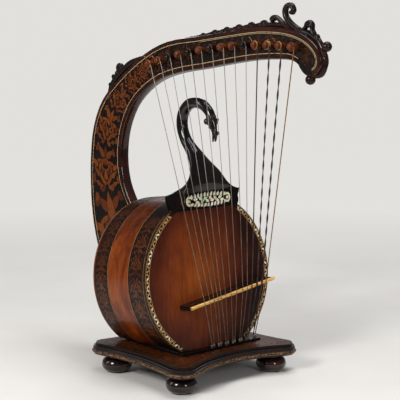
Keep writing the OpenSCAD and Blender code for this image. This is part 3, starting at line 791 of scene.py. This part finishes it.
strips = []
for i in range(-6, 7):
    for j in range(-5, 10):
        x, y = 22 * i + (11 if j % 2 else 0), 17 * j
        ang = math.atan2(y - 37, x) if (x or y - 37) else 0
        strips += [moved(strip, x, y, ang) for strip in arabesque(11)]
strips_to_mesh("plinth_inlay", strips, lambda x, y, lift: place(x, y, PANEL_TOP + 0.12 + lift),
               keep=lambda x, y: inside_plinth(x, y, 13) and not (abs(x) < 78 and -27 < y < 122))
for tag, e0, e1, mat, tint in (("rim", 5.3, 10.5, BORDER, (0.1, 0.03, 0.01)),
                               ("line", 10.5, 11.4, LINE, (0.22, 0.12, 0.05))):
    a, b = ([place(x, y, PANEL_TOP + 0.08) for x, y in plinth_outline(e)] for e in (e0, e1))
    ribbon("plinth_" + tag, a, b, mat, tint)


def edge_band(z=35.2, high=2.4, proud=1.9, rows=8):
    """A fine rounded band of slanted chips round the plinth's edge."""
    outline = plinth_outline(0)
    # 1 when the outline runs anticlockwise, so that the band bulges outwards.
    spin = 1 if sum(a[0] * b[1] - b[0] * a[1] for a, b in zip(outline, outline[1:])) > 0 else -1
    path = Line([(x, y, 0) for x, y in outline])
    verts, faces, tints = [], [], []
    count = int(path.len / 2.6)
    pal = [(0.2, 0.1, 0.04), (0.1, 0.04, 0.018), (0.3, 0.18, 0.085), (0.05, 0.02, 0.01), (0.02, 0.009, 0.006)]
    for k in range(count):
        for j in range(rows):
            b = len(verts)
            for du, jj in ((0, j), (0.92, j), (0.92, j + 1), (0, j + 1)):
                a = PI * (jj / rows - 0.5)
                u = ((k + du + 0.35 * jj) / count) % 1.0
                p, q = path.at(u), path.at((u + 0.002) % 1.0)
                t = (q - p).normalized() * spin * proud * math.cos(a)
                verts.append(place(p.x + t.y, p.y - t.x, z + high * math.sin(a)))
            faces.append((b, b + 1, b + 2, b + 3))
            tints.append(pal[(k + j // 3) % 5] if k % 2 else rng.choice(pal))
    return add_mesh("plinth_edge_band", verts, faces, INLAY, "frame", False, tints)


edge_band()


# ---------------------------------------------------------------- strings
PEG_R, PITCH = 5.8, 25.3
SAD_X = [-38, -27, -18, -10, -3, 7, 19, 31, 45, 55, 65, 76, 87, 97]
SR = [0.6, 0.5, 0.5, 0.5, 0.6, 0.5, 0.5, 0.6, 0.5, 0.5, 0.9, 1.3, 1.4, 1.0]
SHOULDER = [(-55, 9.3, 308.5), (-41, 9.3, 316.5), (-31, 9.3, 328)]


def peg_y(i):
    return 128 - PITCH * i


def peg_z(i):
    return 537.5 - 0.00046 * (peg_y(i) + 150) ** 2


def string_points(i):
    x = SAD_X[i]
    sad = lean(x, -26 - 2.8 - 1.2 * SR[i], -33.6 + x * math.tan(math.radians(7.6)))
    top = place(-20.5 - SR[i], peg_y(i) - PEG_R - 0.5 - SR[i], peg_z(i) - 1)
    low = place(-12 + 7.6 * i, -21.1 + 3.5 * (i % 2), 57 + 1.2 * SR[i])
    pts = [top]
    if i < 3:
        a, b, c = SHOULDER[i]
        pts.append(place(a, b - SR[i], c))
    return pts + [sad, low]


def dense(pts, step):
    out = []
    for a, b in zip(pts, pts[1:]):
        a, b = Vector(a), Vector(b)
        n = max(int((b - a).length / step), 1)
        out += [a.lerp(b, k / n) for k in range(n)]
    return out + [Vector(pts[-1])]


for i, node in ((11, "string_bass_2"), (12, "string_bass_3")):
    o = tube("twisted_string_%d" % (i + 1), dense(string_points(i), 3), SR[i], DARK_GUT,
             sides=12, flat=(SR[i] * 1.12, SR[i] * 0.52, 10.5))
    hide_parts(node)
o = tube("twisted_string_14", dense(string_points(13), 2), 1.0, TAN_GUT, sides=12, flat=(1.0, 0.72, 60))
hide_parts("string_bass_4")


# ---------------------------------------------------------------- string turns on the pegs
GOLDEN = (0, 1, 10, 11, 12)
TAILED = (0, 1, 2, 4, 9, 10, 11, 12)


def turns(i, count, r, mat, n=20, m=6):
    """Closed turns of string side by side on a peg, the same at every angle of the peg."""
    verts, faces = [], []
    for j in range(count):
        x0, b = -21.6 + 1.9 * r * j, len(verts)
        for k in range(n):
            a, k2 = 2 * PI * k / n, (k + 1) % n
            for h in range(m):
                t, h2 = 2 * PI * h / m, (h + 1) % m
                q = PEG_R + r * 0.5 + r * math.cos(t)
                verts.append(place(x0 + r * math.sin(t), peg_y(i) - q * math.cos(a),
                                   peg_z(i) + q * math.sin(a)))
                faces.append((b + m * k + h, b + m * k + h2, b + m * k2 + h2, b + m * k2 + h))
    add_mesh("turns_%02d" % (i + 1), verts, faces, mat, "peg_%02d" % (i + 1), True)


for i in range(14):
    mat = GOLD_GUT if i in GOLDEN else PEG_GUT
    turns(i, 4 if i == 11 else 2, 0.6 if i > 9 else 0.45, mat)
    if i in TAILED:
        a0 = rng.uniform(0.4, 2.4)
        c, s = math.cos(a0), math.sin(a0)
        p = Vector(place(-24.5, peg_y(i) + 6.2 * c, peg_z(i) + 6.2 * s))
        q = [p + Vector((-1.2 * u, 5 * u * c + rng.uniform(-1, 1), 5.5 * u * s + 1.5 * math.sin(3 * u)))
             for u in (0, 0.4, 0.8, 1.2, 1.6)]
        tube("tail_%02d" % (i + 1), spline([tuple(v) for v in q], 4), 0.42, mat, "peg_%02d" % (i + 1), 6)

# Two loose ends that curl by the carved block.
for name, start, drift in (("loose_end_1", (-44, 9, 322), (-7, -2, -34)),
                           ("loose_end_2", (-58, 8, 300), (3, -6, -20))):
    pts = []
    for k in range(37):
        u = k / 36
        rad = 2.4 * (1 - 0.5 * u)
        pts.append(place(start[0] + drift[0] * u + rad * math.sin(9 * u),
                         start[1] - 4 + drift[1] * u + rad * math.cos(9 * u) * 0.5, start[2] + drift[2] * u))
    tube(name, pts, 0.28, GUT, sides=6)

# Loops over the hitch pins.
for i in range(14):
    mat = GUT if i < 10 else (TAN_GUT if i == 13 else DARK_GUT)
    x, y, z = place(-12 + 7.6 * i, -21 + 3.5 * (i % 2), SEAT_TOP + 3.2)
    loop = [2 * PI * k / 20 for k in range(21)]
    pts = [(x + 1.75 * math.cos(a), y + 1.75 * math.sin(a), z + 0.8 * math.sin(a / 2)) for a in loop]
    tube("hitch_loop_%02d" % (i + 1), pts, 0.5, mat, sides=6)
    eye = [2 * PI * k / 24 for k in range(25)]
    pts = [(x + 2.0 * math.cos(a), y - 0.2, z - 1.2 + 2.0 * math.sin(a)) for a in eye]
    tube("hitch_eye_%02d" % (i + 1), pts, 0.45, STEEL, sides=8)


# ---------------------------------------------------------------- carving
def blend_balls(name, balls, mat, voxel, replaces, smooth):
    """Balls (x, y, z, rx, ry, rz in mm) joined and fused into one carved skin."""
    bpy.ops.object.select_all(action="DESELECT")
    parts = []
    for x, y, z, rx, ry, rz in balls:
        bpy.ops.mesh.primitive_uv_sphere_add(segments=24, ring_count=14,
                                             location=(x / 1000, y / 1000, z / 1000))
        b = bpy.context.object
        b.scale = (rx / 1000, ry / 1000, rz / 1000)
        parts.append(b)
    for b in parts:
        b.select_set(True)
    bpy.context.view_layer.objects.active = parts[0]
    bpy.ops.object.join()
    bpy.ops.object.transform_apply(location=True, rotation=True, scale=True)
    o = bpy.context.object
    o.name = name
    o.data.materials.clear()
    o.data.materials.append(mat)
    r = o.modifiers.new("fuse", "REMESH")
    r.mode = "VOXEL"
    r.voxel_size = voxel / 1000
    r.use_smooth_shade = True
    s = o.modifiers.new("relax", "SMOOTH")
    s.factor = 0.5
    s.iterations = smooth
    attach(o, "frame")
    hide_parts(replaces)
    return o


# y, z in the leaning frame, half width, front and back depth, pinch, middle x
SWAN = [(-0.5, 137, 75, 0.6, 26, 3, 0), (-1, 140.5, 63, 1, 26, 3, 2), (-2, 146, 51, 2, 25, 2.8, 5),
        (-2.5, 153, 42, 3, 24, 2.5, 6.5), (-2, 162, 35, 4, 21, 2.1, 7), (0.5, 172, 28.5, 6, 18, 1.6, 6),
        (6, 183, 21, 9, 14, 1.2, 3.5), (13.5, 195.5, 14.7, 10.5, 11.5, 1, 1),
        (23.5, 208.5, 10.8, 10, 10, 1, 0), (34, 222.5, 9.6, 9.4, 9.4, 1, 0), (40.5, 243, 9.3, 9.3, 9.3, 1, 0),
        (36.5, 263, 9.3, 9.3, 9.3, 1, 0), (22, 277, 9.2, 9.2, 9.2, 1, 0), (3, 280.5, 8.9, 8.9, 8.9, 1, 0),
        (-14, 275.5, 8.4, 8.4, 8.4, 1, 0), (-26.5, 265, 7.8, 7.8, 7.8, 1, 0),
        (-31.5, 256, 7.4, 7.4, 7.4, 1, 0)]


def swan():
    """The animal's neck: rounded sections along its curve, flat and wide at the foot."""
    st = spline(SWAN, 7)
    m, n = len(st), 56
    verts, faces = [], []
    for i, q in enumerate(st):
        a, b = st[max(i - 1, 0)], st[min(i + 1, m - 1)]
        d = (b[0] - a[0], b[1] - a[1])
        ln = math.hypot(*d)
        d = (0, 1) if i == 0 else (d[0] / ln, d[1] / ln)
        for k in range(n):
            t = 2 * PI * k / n
            c, w = math.cos(t), math.sin(t)
            x = q[6] + q[2] * math.copysign(abs(c) ** max(q[5], 1), c)
            v = (q[4] if w > 0 else q[3]) * w
            verts.append(lean(x, q[0] + v * d[1], q[1] - v * d[0]))
    for i in range(m - 1):
        for k in range(n):
            j = (k + 1) % n
            faces.append((i * n + k, (i + 1) * n + k, (i + 1) * n + j, i * n + j))
    faces.append(tuple(range(n)))
    faces.append(tuple((m - 1) * n + k for k in reversed(range(n))))
    o = add_mesh("smooth_animal_neck", verts, faces, POLISHED, "frame", True)
    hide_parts("swan_neck")


swan()


def lean6(x, y, z, a, b, c):
    """A ball in the leaning axes: its middle and its half sizes."""
    return (*lean(x, y, z), a, b, c)


head = spline([lean6(*q) for q in ((0, -30, 257, 7, 7.4, 7), (0, -32, 250, 8.2, 8.6, 7.8),
                                   (0, -34.5, 241.5, 6.2, 7, 6), (0, -36.6, 234, 4.6, 5.2, 4.8),
                                   (0, -38, 228, 4.7, 4.8, 4.4))], 4)
for sx in (1, -1):
    head += [lean6(*q) for q in ((sx * 6.6, -33, 247, 4.1, 4.6, 4.8), (sx * 7.2, -37, 250.5, 3, 3, 3),
                                 (sx * 6.8, -26.5, 249, 3.8, 4.2, 5), (sx * 5.6, -28, 260, 2.2, 2.6, 3.4),
                                 (sx * 3.4, -41.4, 229.5, 2.6, 2.6, 3), (sx * 4.4, -33, 240, 2.8, 4, 3.2),
                                 (sx * 2.6, -37, 256, 2.6, 2.8, 2.8))]
head += spline([lean6(0, -39.4, 227, 3, 2.6, 2.8), lean6(0, -38.6, 221, 2.4, 2, 2),
                lean6(0, -37.6, 217.4, 1.8, 1.5, 1.4)], 4)
head += spline([lean6(0, -34.4, 230, 2.8, 2.2, 2.6), lean6(0, -33, 222.5, 2, 1.7, 1.9),
                lean6(0, -32, 217, 1.5, 1.3, 1.3)], 4)
blend_balls("carved_head", head, POLISHED, 0.55, "swan_head", 3)


def at(y, z, rx, r, rz=None):
    """A ball in the bow's plane: y, z, and its half sizes across, along y and along z."""
    return (*place(0.0, y, z), rx, r, rz or r)


def crest_z(y):
    return 548.8 - 0.1643 * y - 0.000357 * y * y


crest = spline([at(*q) for q in ((110, 527, 3, 4, 2.6), (90, 534.5, 3.6, 5, 3.4), (60, 541, 4, 6, 3.8),
                                 (20, 547.5, 4.2, 6, 3.6), (-30, 555.5, 4.4, 6, 4), (-80, 562, 4.6, 6, 4.4),
                                 (-130, 566.5, 4.8, 6, 4.6), (-172, 566, 4.8, 6, 4.6),
                                 (-204, 558.5, 4.8, 6, 4.4), (-222, 553.5, 4.8, 5.4, 5),
                                 (-236.5, 544, 4.8, 5, 5.4), (-246.5, 528, 4.8, 4.6, 6),
                                 (-249, 511, 4.8, 4.8, 6), (-243.5, 499, 4.8, 5, 5), (-235, 495, 4.8, 5, 4),
                                 (-225, 495, 4.6, 5, 3.6), (-213, 499, 4.4, 4.6, 3.4),
                                 (-204, 506.5, 4, 3.6, 3.4), (-199, 513, 3.4, 3, 3))], 7)
for k in range(9):
    y, r = 96 - 27.5 * k, 5.5 + 0.75 * k
    z = crest_z(y)
    crest += [at(*q) for q in ((y, z + 0.2, 4.6, r * 0.98, r * 0.94),
                               (y + r * 0.9, z - 0.2, 4, r * 0.8, r * 0.62),
                               (y - r * 1.15, z + 1.8, 3.6, r * 0.55, r * 0.5),
                               (y - 1, z + 1.6, 5, r * 0.5, r * 0.62))]
for y, z, r in ((-233, 550, 5.2), (-247, 532, 5.2), (-250.5, 519, 4)):
    crest.append(at(y, z, 4.6, r, r))
blend_balls("carved_crest", crest, EBONY_BROWN, 0.9, "crest_front", 3)

rear = spline([at(*q) for q in ((170, 510, 3.8, 5, 3.4), (196, 502, 4.6, 7, 4.8), (216, 491, 4.8, 6, 5),
                                (240, 474, 4.8, 5.4, 5.4), (254, 458, 4.4, 4.4, 5.4),
                                (260, 444, 3.6, 3, 4.4))], 6)
rear += [at(*q) for q in ((230, 491, 4.8, 9.2, 9.2), (227, 495, 5, 5, 5), (236, 482, 4.6, 6, 5),
                          (247, 476, 4.2, 4.4, 4.4), (256, 462, 4, 4.4, 4))]
blend_balls("carved_rear_crest", rear, EBONY_BROWN, 0.8, "crest_rear", 3)


def scroll_balls(pts, n=6, rx=5.2):
    """Balls along the strand of a scroll, from (y, z, half width) points."""
    return [at(y, z, rx, w, w) for y, z, w in spline(pts, n)]


fin = scroll_balls([(-214, 552, 5), (-196, 560, 5), (-182, 568, 4.8), (-171, 578, 4.6), (-168.3, 588, 4.4),
                    (-173, 595.4, 4.2), (-181, 595.6, 4), (-185.4, 589.5, 3.6), (-183.4, 585, 3.2)])
fin += [at(-181.4, 585.6, 5.4, 3.4, 3.4)]
fin += scroll_balls([(-206, 552, 3.6), (-190, 557, 3.8), (-174, 563.5, 3.6), (-162, 571, 3.4),
                     (-152, 577.7, 3.2), (-144.5, 579.2, 3), (-140.2, 575.5, 2.6), (-141.6, 572.6, 2.4)], 6,
                     5)
fin += [at(-144.5, 574.6, 5.2, 2.6, 2.6)]
fin += scroll_balls([(-203, 559, 4), (-210.5, 564, 3), (-213.4, 570, 2.8), (-218.5, 572.4, 2.7),
                     (-223.4, 568.6, 2.7), (-223.5, 561, 3), (-227, 555, 3.4)], 6, 5)
fin += [at(-218, 566.4, 5.2, 3, 3), at(-172, 564, 4.6, 10, 3.6), at(-200, 556.5, 4.6, 10, 3.4)]
blend_balls("carved_finial", fin, EBONY_BROWN, 0.7, "scroll_finial", 2)


# ---------------------------------------------------------------- saddle with slanted notches
def saddle():
    """A round bar with a slanted notch for each string."""
    verts, faces = [], []
    sides, n = 16, 372
    t = math.radians(7.6)
    for i in range(n + 1):
        x = -65 + 186 * i / n
        for k in range(sides):
            a = 2 * PI * k / sides
            ph = (x + 3.2 * math.cos(a)) / 10.3
            d = abs(ph - round(ph)) * 10.3
            r = 2.76 - (0.55 * math.exp(-(d / 0.55) ** 2) if -52 < x < 108 else 0)
            if i in (0, n):
                r *= 0.7
            yy, zz = -26 + r * math.sin(a), r * math.cos(a)
            verts.append(lean(x * math.cos(t) - zz * math.sin(t), yy,
                              -33.6 + x * math.sin(t) + zz * math.cos(t)))
    for i in range(n):
        for k in range(sides):
            j = (k + 1) % sides
            faces.append((i * sides + k, i * sides + j, (i + 1) * sides + j, (i + 1) * sides + k))
    faces.append(tuple(range(sides)))
    faces.append(tuple(n * sides + k for k in reversed(range(sides))))
    o = add_mesh("notched_saddle", verts, faces, BONE, "frame", True)
    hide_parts("bridge_saddle")


saddle()

# ---------------------------------------------------------------- softened CAD edges
for name, w in (("plinth_board", 0.8), ("plinth_moulding", 2.2), ("plinth_top_panel", 1.4),
                ("drum_seat", 0.8), ("hitch_rail", 0.8), ("bridge_bar", 0.5), ("figure_block", 1.0),
                ("soundboard", 0.4)):
    bevel(N[name], w)
for name in ("foot_front_left", "foot_front_right", "foot_back_left", "foot_back_right", "ball_finials",
             "rib_band_front", "rib_band_centre", "rib_band_rear"):
    N[name].data.polygons.foreach_set("use_smooth", [True] * len(N[name].data.polygons))
for i in range(14):
    bevel(N["peg_%02d" % (i + 1)], 0.7, 2, 40)

# ---------------------------------------------------------------- studio
def backdrop_material():
    """Pale matt floor that turns into an evenly lit wall away from the object."""
    n = Net("backdrop")
    pos = n.xyz()
    x, y = pos["X"], pos["Y"]
    r = n.math("POWER", n.math("ADD", n.math("MULTIPLY", x, x), n.math("MULTIPLY", y, y)), 0.5)
    away = n.ramp(n.math("MULTIPLY", r, 0.4), (0.22, (0, 0, 0)), (0.72, (1, 1, 1)))
    c = n.ramp(n.noise(1.6, 4), (0.35, (0.71, 0.69, 0.655)), (0.65, (0.8, 0.785, 0.755)))
    c = n.mix(away, c, (0.0, 0.0, 0.0))
    n.bsdf.inputs["Emission Color"].default_value = (1.0, 0.98, 0.94, 1)
    n.put(n.bsdf.inputs["Emission Strength"], n.math("MULTIPLY", away, 0.76))
    n.bump(n.noise(9, 5, None, 0.5, 0.5), 0.25, 0.004)
    return n.out(c, 0.85)


def bowl(name, profile, mat, n=96):
    """A surface turned about the upright axis from (radius, height) points in metres."""
    verts = [(1000 * r * math.cos(2 * PI * k / n), 1000 * r * math.sin(2 * PI * k / n), 1000 * z)
             for r, z in profile for k in range(n)]
    faces = [(j * n + k, j * n + (k + 1) % n, (j + 1) * n + (k + 1) % n, (j + 1) * n + k)
             for j in range(len(profile) - 1) for k in range(n)]
    o = add_mesh(name, verts, faces, mat, None, True)
    return o


BACKDROP = backdrop_material()
bowl("backdrop_floor", [(0.001, 0), (0.3, 0), (0.6, 0), (0.9, 0), (1.3, 0)], BACKDROP)
cove = [(2.5 + 0.9 * math.sin(PI / 24 * k), 0.9 - 0.9 * math.cos(PI / 24 * k)) for k in range(1, 13)]
far = bowl("backdrop_wall", [(1.3, 0), (1.9, 0), (2.5, 0)] + cove + [(3.4, 4.5)], BACKDROP)
# The wall is only a background: it neither lights the object nor shows in its gloss.
far.visible_diffuse = far.visible_glossy = far.visible_transmission = far.visible_shadow = False

world = bpy.data.worlds.new("studio")
bpy.context.scene.world = world
world.use_nodes = True
bg = world.node_tree.nodes["Background"]
bg.inputs["Color"].default_value = (0.93, 0.95, 1.0, 1)
bg.inputs["Strength"].default_value = 0.14


def area(name, where, look, size, power, color=(1, 1, 1)):
    d = bpy.data.lights.new(name, "AREA")
    d.shape = "RECTANGLE"
    d.size, d.size_y = size
    d.energy = power
    d.color = color
    o = bpy.data.objects.new(name, d)
    bpy.context.scene.collection.objects.link(o)
    o.visible_camera = False
    o.location = where
    o.rotation_euler = (Vector(look) - Vector(where)).to_track_quat("-Z", "Y").to_euler()


def around(az, dist, z):
    a = math.radians(az)
    return (math.sin(a) * dist, -math.cos(a) * dist, z)


area("key", around(-82, 2.2, 1.45), (0, 0, 0.28), (0.6, 0.7), 40, (1, 0.985, 0.96))
area("fill", around(-11, 2.3, 0.95), (0, 0, 0.28), (0.3, 0.6), 12, (1, 0.98, 0.96))
area("top", (0.3, -0.3, 2.4), (0.25, -0.2, 0), (1.5, 1.5), 37)
area("rim", around(-128, 1.9, 1.1), (0, 0, 0.35), (0.25, 1.2), 5)
area("back", around(140, 2.3, 1.3), (0, 0, 0.3), (0.8, 0.8), 7)

# ---------------------------------------------------------------- camera
az, el = math.radians(-41.26), math.radians(8.24)
back = Vector((math.sin(az) * math.cos(el), -math.cos(az) * math.cos(el), math.sin(el)))
right = Vector((math.cos(az), math.sin(az), 0))
up = back.cross(right)
cam = bpy.data.cameras.new("camera")
cam.lens = 117
cam.sensor_width = 36
co = bpy.data.objects.new("camera", cam)
bpy.context.scene.collection.objects.link(co)
loc = Vector((0, FY / 1000, ZC / 1000)) + back * 2.098 + right * -0.0146 + up * 0.123
co.matrix_world = Matrix.Translation(loc) @ Matrix((right, up, back)).transposed().to_4x4()
bpy.context.scene.camera = co
bpy.context.scene.view_settings.view_transform = "Standard"
